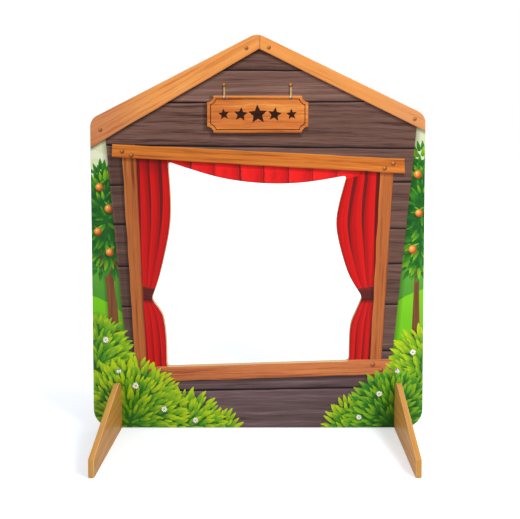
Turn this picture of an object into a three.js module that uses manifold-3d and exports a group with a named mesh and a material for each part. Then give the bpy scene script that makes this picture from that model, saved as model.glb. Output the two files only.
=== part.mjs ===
import * as THREE from "three";
import { mergeVertices } from "three/addons/utils/BufferGeometryUtils.js";
import Module from "manifold-3d";

// Puppet theatre stand: one printed board with a curtain-shaped window, held upright by two slotted feet.
// Millimetres. +X is the spectator's right, +Y the player's side and +Z up.
// The origin lies on the floor, below the middle of the board.

const wasm = await Module();
wasm.setup();

// Shared by all the boards
const boardThickness = 16;
const fitGap = 0.3; // between pieces that touch
const edgeEase = 1.5; // rounding along every sawn edge
const easeSteps = 1;
const arcSteps = 8; // on a rounded corner
const cutOverrun = 5; // how far a cutter runs past the face that it opens
const weldTolerance = 0.003; // vertices closer than this are one

// The upright board, whose outline is measured from its own bottom edge
const panelWidth = 1050;
const leftWallHeight = 983;
const rightWallHeight = 997;
const ridgeHeight = 1250;
const ridgeOffset = -2;
const floorGap = 2; // between the board's bottom edge and the floor
const bottomCornerRadius = 60;
const eaveRadius = 40;
const ridgeRadius = 45;

// The window, whose curtain edges narrow to a tie at each side
const windowWidth = 667; // from tie to tie
const windowHeight = 653; // from the sill's left end to the highest corner
const windowOffset = -3.5; // of its middle from the board's middle
const sillRise = 197; // of the sill's left end above the board's bottom edge
const windowCornerRadius = 12;
const curtainSteps = 12; // on each curved edge
const cornerSteps = 4;

// Each edge of the window from corner to corner, as shares of its width and height
const leftDrapeShares = [[0.082, 1], [0.093, 0.806], [0.084, 0.66], [0.04, 0.456], [0, 0.335]];
const leftHemShares = [[0, 0.335], [0.037, 0.283], [0.055, 0.243], [0.067, 0.147], [0.07, 0]];
const sillShares = [[0.07, 0], [0.939, 0.028]];
const rightHemShares = [[0.939, 0.028], [0.942, 0.167], [0.951, 0.225], [0.966, 0.263], [1, 0.343]];
const rightDrapeShares = [[1, 0.343], [0.931, 0.467], [0.88, 0.66], [0.885, 0.776], [0.925, 0.933]];
const valanceShares = [
  [0.925, 0.933], [0.742, 0.902], [0.591, 0.894], [0.439, 0.904], [0.288, 0.933], [0.082, 1],
];

// The feet, each one board on edge that reaches through a slot in the upright board
const footThickness = 16;
const footInset = 82; // from the board's side edge to a foot's middle
const footReach = 283; // in front of the board's face and behind its back
const toeHeight = 52;
const toeRadius = 4;
const bridgeHeight = 90; // of the foot where the board straddles it
const wedgeHeight = 170; // of the front wedge where its slope would meet the board
const wedgeRadius = 28;
const braceHeight = 277; // of the rear brace where its slope would meet the board
const braceRadius = 30;

// The connector bolt and its barrel nut, one pair for each foot
const boltHeight = 185; // above the floor
const boltHeadRadius = 7.5;
const boltHeadHeight = 2.4;
const boltHeadShares = [[0, 1], [0.5, 0.95], [0.9, 0.65], [1, 0.33], [1, 0]]; // of its radius and height
const boltRadius = 3;
const boltLength = 55; // below the head
const boltTipChamfer = 1;
const boltSides = 24;
const socketAcrossFlats = 4;
const socketDepth = 1.8;
const socketSides = 6;
const nutRadius = 5;
const nutLength = 14;
const nutSetback = 35; // of the nut's middle from the board's back
const nutSlotWidth = 1.2;
const nutSlotDepth = 1.5;

const panelFront = -boardThickness / 2;
const panelBack = boardThickness / 2;
const footCentre = panelWidth / 2 - footInset;
const boreRadius = boltRadius + fitGap;
const nutDepth = panelBack + nutSetback;
const notchHalf = panelBack + fitGap;

const printedBoard = new THREE.MeshStandardMaterial({ color: 0x7a5a44, roughness: 0.35, metalness: 0 });
const beechBoard = new THREE.MeshStandardMaterial({ color: 0xd69a58, roughness: 0.45, metalness: 0 });
const nickelPlate = new THREE.MeshStandardMaterial({ color: 0xc9c8c4, roughness: 0.25, metalness: 1 });
const zincPlate = new THREE.MeshStandardMaterial({ color: 0xa9adb0, roughness: 0.4, metalness: 1 });

// Follows straight edges from corner to corner and rounds each corner with its own radius.
function traceCorners(path, corners) {
  corners.forEach(({ x, y, radius = 0 }, index) => {
    const corner = new THREE.Vector2(x, y);
    const last = corners.at(index - 1);
    const next = corners[(index + 1) % corners.length];
    const back = new THREE.Vector2(last.x, last.y).sub(corner).normalize();
    const ahead = new THREE.Vector2(next.x, next.y).sub(corner).normalize();
    const halfAngle = Math.acos(back.dot(ahead)) / 2;
    const start = corner.clone().addScaledVector(back, radius / Math.tan(halfAngle));
    if (index === 0) path.moveTo(start.x, start.y);
    if (radius === 0) {
      path.lineTo(x, y);
      return;
    }
    const end = corner.clone().addScaledVector(ahead, radius / Math.tan(halfAngle));
    const middle = back.clone().add(ahead).normalize();
    const centre = corner.clone().addScaledVector(middle, radius / Math.sin(halfAngle));
    const startAngle = start.sub(centre).angle();
    const endAngle = end.sub(centre).angle();
    path.absarc(centre.x, centre.y, radius, startAngle, endAngle, back.cross(ahead) > 0);
  });
  return path;
}

// Follows curved edges that meet at corners, and eases each corner over the same run.
function traceCurves(path, edges, run) {
  const curves = edges.map((points) => new THREE.SplineCurve(points));
  const trimmed = curves.map((curve) => {
    const trim = run / curve.getLength();
    const at = (step) => curve.getPointAt(trim + ((1 - 2 * trim) * step) / curtainSteps);
    return Array.from({ length: curtainSteps + 1 }, (_, step) => at(step));
  });
  path.moveTo(trimmed[0][0].x, trimmed[0][0].y);
  trimmed.forEach((points, index) => {
    points.forEach(({ x, y }) => path.lineTo(x, y));
    const corner = edges[index].at(-1);
    const next = trimmed[(index + 1) % trimmed.length][0];
    const turn = new THREE.QuadraticBezierCurve(points.at(-1), corner, next);
    turn.getPoints(cornerSteps).forEach(({ x, y }) => path.lineTo(x, y));
  });
  return path;
}

// A board of the given thickness with eased edges, its outline in X and Y and its middle at Z 0.
function sawnBoard(shape, thickness) {
  const board = new THREE.ExtrudeGeometry(shape, {
    depth: thickness - 2 * edgeEase,
    curveSegments: arcSteps,
    bevelThickness: edgeEase,
    bevelSize: edgeEase,
    bevelOffset: -edgeEase,
    bevelSegments: easeSteps,
  });
  return board.translate(0, 0, edgeEase - thickness / 2);
}

function toSolid(geometry) {
  const bare = geometry.index ? geometry.toNonIndexed() : geometry.clone();
  bare.deleteAttribute("normal");
  bare.deleteAttribute("uv");
  const merged = mergeVertices(bare, weldTolerance);
  const mesh = new wasm.Mesh({
    numProp: 3,
    vertProperties: merged.attributes.position.array,
    triVerts: new Uint32Array(merged.index.array),
  });
  return new wasm.Manifold(mesh);
}

function toGeometry(solid) {
  const mesh = solid.getMesh();
  const geometry = new THREE.BufferGeometry();
  geometry.setAttribute("position", new THREE.BufferAttribute(mesh.vertProperties, mesh.numProp));
  geometry.setIndex(new THREE.BufferAttribute(mesh.triVerts, 1));
  geometry.computeVertexNormals();
  return geometry;
}

function cut(geometry, ...cutters) {
  const whole = toSolid(geometry);
  const left = cutters.reduce((solid, cutter) => solid.subtract(toSolid(cutter)), whole);
  return toGeometry(left);
}

// The upright board
function panelOutline() {
  const side = panelWidth / 2;
  const slotHalf = footThickness / 2 + fitGap;
  const slotTop = bridgeHeight + fitGap - floorGap;
  const slot = (middle) => [
    { x: middle - slotHalf, y: 0 },
    { x: middle - slotHalf, y: slotTop },
    { x: middle + slotHalf, y: slotTop },
    { x: middle + slotHalf, y: 0 },
  ];
  return traceCorners(new THREE.Shape(), [
    { x: -side, y: 0, radius: bottomCornerRadius },
    ...slot(-footCentre),
    ...slot(footCentre),
    { x: side, y: 0, radius: bottomCornerRadius },
    { x: side, y: rightWallHeight, radius: eaveRadius },
    { x: ridgeOffset, y: ridgeHeight, radius: ridgeRadius },
    { x: -side, y: leftWallHeight, radius: eaveRadius },
  ]);
}

function windowOutline() {
  const left = windowOffset - windowWidth / 2;
  const place = ([across, up]) =>
    new THREE.Vector2(left + across * windowWidth, sillRise + up * windowHeight);
  const edges = [leftDrapeShares, leftHemShares, sillShares, rightHemShares, rightDrapeShares, valanceShares];
  const points = edges.map((shares) => shares.map(place));
  return traceCurves(new THREE.Path(), points, windowCornerRadius);
}

function theatrePanel() {
  const outline = panelOutline();
  const boltHole = (x) => new THREE.Path().absarc(x, boltHeight - floorGap, boreRadius, 0, 2 * Math.PI);
  outline.holes.push(windowOutline(), boltHole(-footCentre), boltHole(footCentre));
  const board = new THREE.Mesh(sawnBoard(outline, boardThickness), printedBoard);
  board.name = "theatre_panel";
  board.rotation.x = Math.PI / 2;
  board.position.z = floorGap;
  return board;
}

// A foot's side view: X runs from front to back and Y is the height.
function footOutline() {
  const end = panelBack + footReach;
  const outline = traceCorners(new THREE.Shape(), [
    { x: -end, y: 0, radius: toeRadius },
    { x: end, y: 0, radius: toeRadius },
    { x: end, y: toeHeight, radius: toeRadius },
    { x: notchHalf, y: braceHeight, radius: braceRadius },
    { x: notchHalf, y: bridgeHeight },
    { x: -notchHalf, y: bridgeHeight },
    { x: -notchHalf, y: wedgeHeight, radius: wedgeRadius },
    { x: -end, y: toeHeight, radius: toeRadius },
  ]);
  outline.holes.push(new THREE.Path().absarc(nutDepth, boltHeight, nutRadius + fitGap, 0, 2 * Math.PI));
  return outline;
}

function foot() {
  const board = sawnBoard(footOutline(), footThickness).rotateX(Math.PI / 2).rotateZ(Math.PI / 2);
  const boreEnd = panelBack + boltLength - boardThickness + cutOverrun;
  const bore = new THREE.CylinderGeometry(boreRadius, boreRadius, boreEnd, boltSides);
  bore.translate(0, boreEnd / 2, boltHeight);
  return cut(board, bore);
}

// The bolt lies along Y with the underside of its head at Y 0.
function connectorBolt() {
  const profile = [
    ...boltHeadShares.map(([out, up]) => [out * boltHeadRadius, -up * boltHeadHeight]),
    [boltRadius, 0],
    [boltRadius, boltLength - boltTipChamfer],
    [boltRadius - boltTipChamfer, boltLength],
    [0, boltLength],
  ];
  const points = profile.map(([radius, along]) => new THREE.Vector2(radius, along));
  const turned = new THREE.LatheGeometry(points, boltSides);
  const socketRadius = socketAcrossFlats / Math.sqrt(3);
  const socketLength = socketDepth + cutOverrun;
  const socket = new THREE.CylinderGeometry(socketRadius, socketRadius, socketLength, socketSides);
  socket.translate(0, socketDepth - boltHeadHeight - socketLength / 2, 0);
  return cut(turned, socket);
}

// The barrel nut lies along X, with its cross bore along Y.
function barrelNut() {
  const barrel = new THREE.CylinderGeometry(nutRadius, nutRadius, nutLength, boltSides).rotateZ(Math.PI / 2);
  const crossLength = 2 * (nutRadius + cutOverrun);
  const crossBore = new THREE.CylinderGeometry(boreRadius, boreRadius, crossLength, boltSides);
  const slotLength = nutSlotDepth + cutOverrun;
  const slot = new THREE.BoxGeometry(slotLength, crossLength, nutSlotWidth);
  slot.translate(nutLength / 2 - nutSlotDepth + slotLength / 2, 0, 0);
  return cut(barrel, crossBore, slot);
}

const theatre = new THREE.Group();
theatre.name = "puppet_theatre_stand";
theatre.add(theatrePanel());

for (const [side, sign] of [["left", -1], ["right", 1]]) {
  const stand = new THREE.Group();
  stand.position.x = sign * footCentre;
  const footBoard = new THREE.Mesh(foot(), beechBoard);
  footBoard.name = `${side}_foot`;
  const bolt = new THREE.Mesh(connectorBolt(), nickelPlate);
  bolt.name = `${side}_connector_bolt`;
  bolt.position.set(0, panelFront - fitGap, boltHeight);
  const nut = new THREE.Mesh(barrelNut(), zincPlate);
  nut.name = `${side}_barrel_nut`;
  nut.position.set(0, nutDepth, boltHeight);
  nut.rotation.z = sign > 0 ? Math.PI : 0;
  stand.add(footBoard, bolt, nut);
  theatre.add(stand);
}

export default theatre;
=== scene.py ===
# Puppet theatre stand: a printed board with a curtain-shaped window, held upright by two slotted feet.
# Lengths are metres, and millimetres are written as a number times mm. The print's tables hold plain
# millimetres, which flatPoint turns to metres.
import math
import random

import bmesh
import bpy
from mathutils import Matrix, Vector
from mathutils.geometry import delaunay_2d_cdt


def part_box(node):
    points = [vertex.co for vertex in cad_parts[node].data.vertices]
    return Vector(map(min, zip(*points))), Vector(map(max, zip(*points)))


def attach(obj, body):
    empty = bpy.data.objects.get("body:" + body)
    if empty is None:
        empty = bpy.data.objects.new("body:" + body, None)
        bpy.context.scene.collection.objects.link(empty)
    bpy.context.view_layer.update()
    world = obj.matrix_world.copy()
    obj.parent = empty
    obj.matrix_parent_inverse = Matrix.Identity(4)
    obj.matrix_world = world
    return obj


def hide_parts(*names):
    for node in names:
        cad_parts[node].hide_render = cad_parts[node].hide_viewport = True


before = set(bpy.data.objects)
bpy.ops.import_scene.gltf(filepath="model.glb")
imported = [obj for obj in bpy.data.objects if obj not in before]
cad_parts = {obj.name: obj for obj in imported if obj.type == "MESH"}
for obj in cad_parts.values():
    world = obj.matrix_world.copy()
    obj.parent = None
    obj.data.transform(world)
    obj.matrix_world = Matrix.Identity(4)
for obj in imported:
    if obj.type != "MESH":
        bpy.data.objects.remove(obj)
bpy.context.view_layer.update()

mm = 0.001
scene = bpy.context.scene
print("frame loaded:", len(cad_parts), "pieces")


# Node helpers

def feed(node, inputs):
    # Links what is a socket and sets what is a value.
    for key, value in inputs.items():
        if isinstance(value, bpy.types.NodeSocket):
            node.id_data.links.new(value, node.inputs[key])
        else:
            node.inputs[key].default_value = value


def place(tree, kind, inputs=None, **settings):
    node = tree.nodes.new(kind)
    for key, value in settings.items():
        setattr(node, key, value)
    feed(node, inputs or {})
    return node


def follow(kind, inputs, **settings):
    # Places a node in the tree that its inputs come from.
    trees = [value.id_data for value in inputs.values() if isinstance(value, bpy.types.NodeSocket)]
    return place(trees[0], kind, inputs, **settings)


def calc(operation, *terms):
    return follow("ShaderNodeMath", dict(enumerate(terms)), operation=operation).outputs[0]


def total(first, *others):
    for other in others:
        first = calc("ADD", first, other)
    return first


def product(first, *others):
    for other in others:
        first = calc("MULTIPLY", first, other)
    return first


def less(first, second):
    return calc("SUBTRACT", first, second)


def clamped(value):
    return calc("MINIMUM", calc("MAXIMUM", value, 0.0), 1.0)


def vectorCalc(operation, *terms):
    node = follow("ShaderNodeVectorMath", dict(enumerate(terms)), operation=operation)
    return node.outputs["Value" if operation == "LENGTH" else "Vector"]


def scaled(vector, factors):
    return vectorCalc("MULTIPLY", vector, factors)


def split(vector):
    return follow("ShaderNodeSeparateXYZ", {0: vector}).outputs


def join(*parts):
    return follow("ShaderNodeCombineXYZ", dict(enumerate(parts))).outputs[0]


def span(value, low, high, outLow=0.0, outHigh=1.0, smooth=True):
    inputs = {0: value, 1: low, 2: high, 3: outLow, 4: outHigh}
    kind = "SMOOTHSTEP" if smooth else "LINEAR"
    return follow("ShaderNodeMapRange", inputs, interpolation_type=kind).outputs[0]


def mix(factor, first, second, mode="MIX"):
    inputs = {0: factor, 6: first, 7: second}
    return follow("ShaderNodeMix", inputs, data_type="RGBA", blend_type=mode).outputs[2]


def noiseAt(vector, scale, detail=2.0, roughness=0.5, distortion=0.0):
    inputs = {"Vector": vector, "Scale": scale, "Detail": detail, "Roughness": roughness,
              "Distortion": distortion}
    return follow("ShaderNodeTexNoise", inputs).outputs[0]


def objectPlace(tree):
    return place(tree, "ShaderNodeTexCoord").outputs["Object"]


def stored(tree, name):
    return place(tree, "ShaderNodeAttribute", attribute_name=name).outputs


def ink(code):
    # A colour written as it looks on screen, turned to the linear values that a shader takes.
    levels = [int(code[i:i + 2], 16) / 255 for i in (0, 2, 4)]
    return tuple(v / 12.92 if v <= 0.04045 else ((v + 0.055) / 1.055) ** 2.4 for v in levels) + (1.0,)


def newGroup(name, inputs, outputs, kind="ShaderNodeTree"):
    # Inputs and outputs are the sockets' names and kinds. Each use of the group gives it all its values.
    group = bpy.data.node_groups.new(name, kind)
    for way, sockets in (("INPUT", inputs), ("OUTPUT", outputs)):
        for label, socketKind in sockets.items():
            group.interface.new_socket(label, in_out=way, socket_type="NodeSocket" + socketKind)
    return group, group.nodes.new("NodeGroupInput").outputs, group.nodes.new("NodeGroupOutput")


def useGroup(tree, group, inputs):
    return place(tree, "ShaderNodeGroup", inputs, node_tree=group).outputs


# Shared surface effects

def buildTimberGroup():
    # Growth figure and fine fibres of cut wood. Place runs along the grain in X and across it in Y and Z.
    group, given, end = newGroup("timber", {
        "Place": "Vector", "Light": "Color", "Dark": "Color", "Rings": "Float", "Figure": "Float"},
        {"Color": "Color", "Height": "Float"})
    spot = given["Place"]
    bend = noiseAt(scaled(spot, (1.1, 3.2, 3.2)), 1.0, 3.0, 0.55)
    across = split(spot)
    line = total(across[1], across[2], product(bend, 0.34))
    wave = calc("SINE", product(line, given["Rings"], 2 * math.pi))
    rings = product(span(wave, -1.0, 1.0), given["Figure"])
    fibrePlace = scaled(spot, (14.0, 900.0, 900.0))
    fibres = noiseAt(fibrePlace, 1.0, 4.0, 0.65)
    pores = noiseAt(fibrePlace, 2.3)
    patches = less(noiseAt(scaled(spot, (2.0, 6.0, 6.0)), 1.0), 0.5)
    blend = total(rings, span(fibres, 0.3, 0.75, 0.0, 0.45), product(patches, 0.7))
    colour = mix(clamped(blend), given["Light"], given["Dark"])
    fleck = span(pores, 0.63, 0.7, 0.0, 0.4)
    toned = mix(fleck, colour, given["Dark"], "MULTIPLY")
    feed(end, {"Color": toned, "Height": less(fibres, product(fleck, 0.6))})
    return group


def buildPlyGroup():
    # The stacked veneers on a sawn edge: every other one shows its end grain, darker and speckled.
    group, given, end = newGroup("veneerStack", {
        "Depth": "Float", "Place": "Vector", "Ply": "Float", "Light": "Color", "Dark": "Color"},
        {"Color": "Color", "Height": "Float"})
    wander = less(noiseAt(given["Place"], 9.0), 0.5)
    depth = total(given["Depth"], product(wander, 0.5 * mm))
    layer = calc("DIVIDE", depth, given["Ply"])
    phase = calc("FRACT", product(layer, 0.5))
    endGrain = product(span(phase, 0.46, 0.5), span(phase, 1.0, 0.96))
    glue = calc("ABSOLUTE", less(calc("FRACT", layer), 0.5))
    speckle = noiseAt(given["Place"], 950.0, 3.0, 0.6)
    speckled = product(endGrain, span(speckle, 0.3, 0.62, 0.45, 1.0))
    streakPlace = vectorCalc("ADD", join(product(given["Depth"], 230.0)),
                             scaled(given["Place"], (11.0, 11.0, 11.0)))
    streak = span(noiseAt(streakPlace, 1.0, 4.0, 0.6), 0.28, 0.72)
    dark = total(product(speckled, 0.75), product(streak, 0.4))
    colour = mix(dark, given["Light"], given["Dark"])
    joint = span(glue, 0.44, 0.5, 0.0, 0.45)
    feed(end, {"Color": mix(joint, colour, given["Dark"], "MULTIPLY"), "Height": less(1.0, dark)})
    return group


def buildLacquerGroup():
    # Sprayed lacquer: a faint ripple in the film, and handling marks that change its gloss.
    group, given, end = newGroup("lacquerFilm", {
        "Gloss": "Float", "Ripple": "Float", "Height": "Float", "Relief": "Float"},
        {"Roughness": "Float", "Normal": "Vector"})
    spot = objectPlace(group)
    ripple = product(noiseAt(spot, 260.0), given["Ripple"])
    raised = total(ripple, product(given["Height"], given["Relief"]))
    bump = follow("ShaderNodeBump", {"Strength": 0.35, "Distance": 0.4 * mm, "Height": raised})
    smears = noiseAt(scaled(spot, (3.0, 3.0, 7.0)), 1.6, 4.0, 0.6, 0.8)
    rough = total(given["Gloss"], span(smears, 0.35, 0.75, -0.05, 0.09))
    feed(end, {"Roughness": rough, "Normal": bump.outputs[0]})
    return group


def buildPaintedWoodGroup():
    # Wood as an illustrator paints it. Place holds metres along the board, shares across it and its number.
    group, given, end = newGroup("paintedWood", {
        "Place": "Vector", "Light": "Color", "Middle": "Color", "Dark": "Color", "Streaks": "Float",
        "Rim": "Float", "Wave": "Float", "Contrast": "Float"}, {"Color": "Color"})
    along, share, number = split(given["Place"])
    shift = product(number, 7.31)
    bend = noiseAt(join(product(along, 4.0), share, shift), 1.0)
    across = total(share, product(less(bend, 0.5), given["Wave"]))
    lines = join(product(along, 2.6), product(across, given["Streaks"]), shift)
    broad = noiseAt(lines, 1.0, 2.0, 0.6)
    fine = noiseAt(scaled(lines, (3.0, 4.0, 1.0)), 1.0, 3.0, 0.6)
    hair = noiseAt(scaled(lines, (9.0, 16.0, 1.0)), 1.0, 2.0, 0.6)
    luck = less(noiseAt(join(0.0, 0.0, shift), 3.0, 0.0), 0.5)
    tone = total(product(broad, 0.42), product(fine, 0.38), product(hair, 0.2), product(luck, 0.3))
    tone = total(product(less(tone, 0.5), given["Contrast"]), 0.5)
    low = mix(span(tone, 0.34, 0.5), given["Dark"], given["Middle"])
    colour = mix(span(tone, 0.5, 0.68), low, given["Light"])
    strokes = product(span(fine, 0.6, 0.68, 0.0, 0.4), given["Contrast"])
    pores = product(span(hair, 0.62, 0.7, 0.0, 0.3), given["Contrast"])
    under = span(share, 0.0, given["Rim"], 0.6, 0.0)
    for mask in (strokes, pores, under):
        colour = mix(mask, colour, given["Dark"])
    upper = span(share, less(1.0, given["Rim"]), 1.0, 0.0, 0.5)
    feed(end, {"Color": mix(upper, colour, given["Light"])})
    return group


def buildFoldGroup():
    # Hanging velvet in folds. Place holds shares across the drape and down it, and the drape's number.
    group, given, end = newGroup("paintedFolds", {
        "Place": "Vector", "Folds": "Float", "Gather": "Float", "Shut": "Float", "Sway": "Float",
        "Light": "Color", "Middle": "Color", "Dark": "Color"}, {"Color": "Color"})
    across, down, number = split(given["Place"])
    cloth = join(across, down, product(number, 3.7))
    swing = product(less(noiseAt(cloth, 2.0, 1.0), 0.5), given["Sway"])
    lanes = product(total(across, swing), given["Folds"])
    share = calc("FRACT", lanes)
    pick = join(calc("FLOOR", lanes), product(number, 5.3))
    luck = follow("ShaderNodeTexWhiteNoise", {"Vector": pick}, noise_dimensions="3D").outputs[0]
    away = calc("ABSOLUTE", less(down, given["Gather"]))
    trough = product(total(luck, 0.8), given["Shut"], span(away, 0.0, 0.6, 0.12, 1.0))
    closed = span(share, trough, less(trough, 0.035))
    crown = calc("ABSOLUTE", less(share, 0.62))
    nap = noiseAt(scaled(cloth, (24.0, 1.4, 1.0)), 1.0, 2.0, 0.6)
    colour = mix(span(share, trough, 1.0), given["Light"], given["Middle"])
    colour = mix(span(crown, 0.16, 0.0, 0.0, 0.4), colour, given["Light"])
    for mask in (span(share, 0.86, 1.0, 0.0, 0.35), span(nap, 0.45, 0.75, 0.0, 0.3),
                 product(closed, span(share, 0.0, 0.03), 0.92), span(down, 0.0, 0.1, 0.5, 0.0)):
        colour = mix(mask, colour, given["Dark"])
    feed(end, {"Color": colour})
    return group


def buildLeafGroup():
    # A painted leaf, dark where it joins and bright at the tip, with a midrib. Place holds shares and a tone.
    group, given, end = newGroup("paintedLeaf", {
        "Place": "Vector", "Root": "Color", "Tip": "Color", "Rib": "Float"}, {"Color": "Color"})
    along, across, tone = split(given["Place"])
    reach = total(product(along, 0.75), product(tone, 0.6))
    colour = mix(span(reach, 0.15, 1.1), given["Root"], given["Tip"])
    rib = product(span(calc("ABSOLUTE", across), 0.16, 0.02), given["Rib"])
    colour = mix(rib, colour, given["Tip"])
    lee = span(across, 0.1, -0.9, 0.0, 0.32)
    feed(end, {"Color": mix(lee, colour, given["Root"])})
    return group


timberGroup = buildTimberGroup()
plyGroup = buildPlyGroup()
lacquerGroup = buildLacquerGroup()
paintedWoodGroup = buildPaintedWoodGroup()
foldGroup = buildFoldGroup()
leafGroup = buildLeafGroup()
print("surface effects built")


# Materials

printFilm = {
    "ripple": 0.1, "relief": 0.0, "coatRoughness": 0.15, "gloss": 0.42, "specular": 0.06, "coat": 0.12}
woodFilm = {"ripple": 0.05, "relief": 0.5, "coatRoughness": 0.16}
boardFilm = {**woodFilm, "gloss": 0.42, "specular": 0.2, "coat": 0.08}
footFilm = {**woodFilm, "gloss": 0.44, "specular": 0.14, "coat": 0.03}
edgeFilm = {**woodFilm, "gloss": 0.62, "specular": 0.04, "coat": 0.0}  # a sawn edge drinks the lacquer
printShadow = "40302c"


def newMaterial(name):
    material = bpy.data.materials.new(name)
    material.use_nodes = True
    tree = material.node_tree
    return material, tree, tree.nodes["Principled BSDF"]


def spray(shader, film, colour, height=0.0):
    skin = useGroup(shader.id_data, lacquerGroup, {
        "Gloss": film["gloss"], "Ripple": film["ripple"], "Height": height, "Relief": film["relief"]})
    feed(shader, {
        "Base Color": colour, "Roughness": skin["Roughness"], "Normal": skin["Normal"],
        "Specular IOR Level": film["specular"], "Coat Weight": film["coat"],
        "Coat Roughness": film["coatRoughness"]})


def printedMaterial(name, paint):
    # Ink under clear lacquer. The paint function gets the place on the painted shape.
    material, tree, shader = newMaterial(name)
    colour = paint(stored(tree, "printPlace")["Vector"])
    shade = stored(tree, "printShade")["Fac"]
    spray(shader, printFilm, mix(shade, colour, ink(printShadow), "MULTIPLY"))
    return material


def groupPaint(group, inks, numbers):
    def paint(spot):
        colours = {label: ink(code) for label, code in inks.items()}
        return useGroup(spot.id_data, group, {"Place": spot, **colours, **numbers})["Color"]
    return paint


def woodPaint(light, middle, dark, streaks, rim=0.08, wave=0.2, contrast=1.0):
    return groupPaint(paintedWoodGroup, {"Light": light, "Middle": middle, "Dark": dark},
                      {"Streaks": streaks, "Rim": rim, "Wave": wave, "Contrast": contrast})


def foldPaint(light, middle, dark, folds, gather, shut, sway):
    return groupPaint(foldGroup, {"Light": light, "Middle": middle, "Dark": dark},
                      {"Folds": folds, "Gather": gather, "Shut": shut, "Sway": sway})


def leafPaint(root, tip, rib):
    return groupPaint(leafGroup, {"Root": root, "Tip": tip}, {"Rib": rib})


def tintedPaint(wood, axis, tints):
    # Wood whose tint changes along one of the object's axes. Tints are places on it and their colours.
    def paint(spot):
        level = split(objectPlace(spot.id_data))[axis]
        tint = ink(tints[0][1])
        for (start, _), (end, code) in zip(tints, tints[1:]):
            tint = mix(span(level, start, end), tint, ink(code))
        return mix(1.0, wood(spot), tint, "MULTIPLY")
    return paint


def washPaint(low, high, bottom, top, mottle, grain):
    # A wash that changes between two heights, slightly mottled.
    def paint(spot):
        here = objectPlace(spot.id_data)
        cloud = product(less(noiseAt(here, grain, 4.0, 0.6), 0.5), mottle)
        level = total(span(split(here)[2], bottom, top, smooth=False), cloud)
        return mix(clamped(level), ink(low), ink(high))
    return paint


def roundPaint(core, rim, glint):
    # A small round thing lit from the upper left. Place holds shares from its middle.
    def paint(spot):
        offset = vectorCalc("SUBTRACT", scaled(spot, (1, 1, 0)), (-0.3, 0.32, 0))
        far = vectorCalc("LENGTH", offset)
        colour = mix(span(far, 0.35, 1.2), ink(core), ink(rim))
        return mix(span(far, 0.3, 0.08), colour, ink(glint))
    return paint


# Tints multiplied into the planks: the first darkens them towards the right, painted shade against the lamp's
# extra light there; the second makes them darker and cooler towards the floor.
plankTints = {
    "paintedShadeToRight": ((-0.45, "ffffff"), (0.45, "e0e0e0")),
    "fromFloor": ((0.12, "dfe8f8"), (0.4, "f4ebdc"), (1.0, "f8efe4")),
}
plankPaint = woodPaint("a07d75", "7b5c54", "4c3430", 9.0, 0.06, 0.16, 1.05)
gablePaint = woodPaint("ffd09c", "f4ae70", "cc7a48", 5.0, 0.1, 0.15, 0.85)
# Tints along the gable from the left eave to the right eave: the print's paler ridge and pinker eaves, with
# painted shade that darkens the left eave and the right half.
gableTintsAndShade = ((-0.5, "e1cdcb"), (-0.3, "fbebc6"), (0.0, "f0dcb2"), (0.3, "e4d0a8"), (0.5, "d8cdc4"))
printPaints = {
    "skyLeft": washPaint("e8e8bc", "d6d8aa", 0.6, 1.05, 0.2, 5.0),
    "skyRight": washPaint("d6d8b2", "c4c69e", 0.6, 1.05, 0.2, 5.0),
    "cloud": washPaint("e0e3bd", "ecedcd", 0.7, 1.0, 0.12, 9.0),
    "farHill": washPaint("3f8f2a", "86bf3c", 0.35, 0.8, 0.4, 10.0),
    "meadow": washPaint("4ea014", "7ac81a", 0.05, 0.42, 0.24, 12.0),
    "thicket": washPaint("2c6418", "1c5a1e", 0.0, 0.9, 0.48, 22.0),
    "plank": tintedPaint(tintedPaint(plankPaint, 0, plankTints["paintedShadeToRight"]), 2, plankTints["fromFloor"]),
    "gap": washPaint("17100f", "241a19", 0.0, 1.2, 0.4, 30.0),
    "gable": tintedPaint(gablePaint, 0, gableTintsAndShade),
    "surround": woodPaint("e38f3c", "cc722b", "92441a", 4.0, 0.12, 0.12, 1.1),
    "sill": woodPaint("e49656", "ce7945", "94492a", 4.0, 0.12, 0.12),
    "stile": woodPaint("cb7c3c", "b26230", "7c381a", 4.0, 0.12, 0.12, 1.1),
    "sign": woodPaint("f2a94e", "cf7436", "8c431d", 5.0, 0.07, 0.15),
    "cord": woodPaint("e9cf9a", "c79e62", "7d5a30", 3.0, 0.3),
    "drape": foldPaint("d81612", "b60c0e", "5c1512", 3.0, 0.63, 0.22, 0.1),
    "valance": foldPaint("f0221e", "d81618", "701814", 8.0, -0.6, 0.08, 0.02),
    "tie": woodPaint("7c2a22", "5e1c19", "35110f", 3.0, 0.2),
    "bark": woodPaint("a5683a", "7c4a2a", "472818", 5.0, 0.15),
    "leafBright": leafPaint("4f8c14", "b6d01a", 0.35),
    "leafMiddle": leafPaint("2c761c", "86b81e", 0.35),
    "leafDark": leafPaint("14501a", "3a8c24", 0.3),
    "daisy": leafPaint("cfd9c0", "fffdf0", 0.1),
    "button": roundPaint("e9a52e", "9a4c1a", "fbe08a"),
    "fruit": roundPaint("f29a3c", "b3481c", "ffe7b0"),
    "nail": roundPaint("b9b4ae", "4a3f3c", "f4f2ee"),
    "peg": roundPaint("b8733c", "6a381c", "d99a5c"),
    "star": woodPaint("4a2a1a", "351c12", "1f0f0a", 3.0, 0.1),
}
printKinds = {kind: printedMaterial("print" + kind[0].upper() + kind[1:], paint)
              for kind, paint in printPaints.items()}

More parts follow.
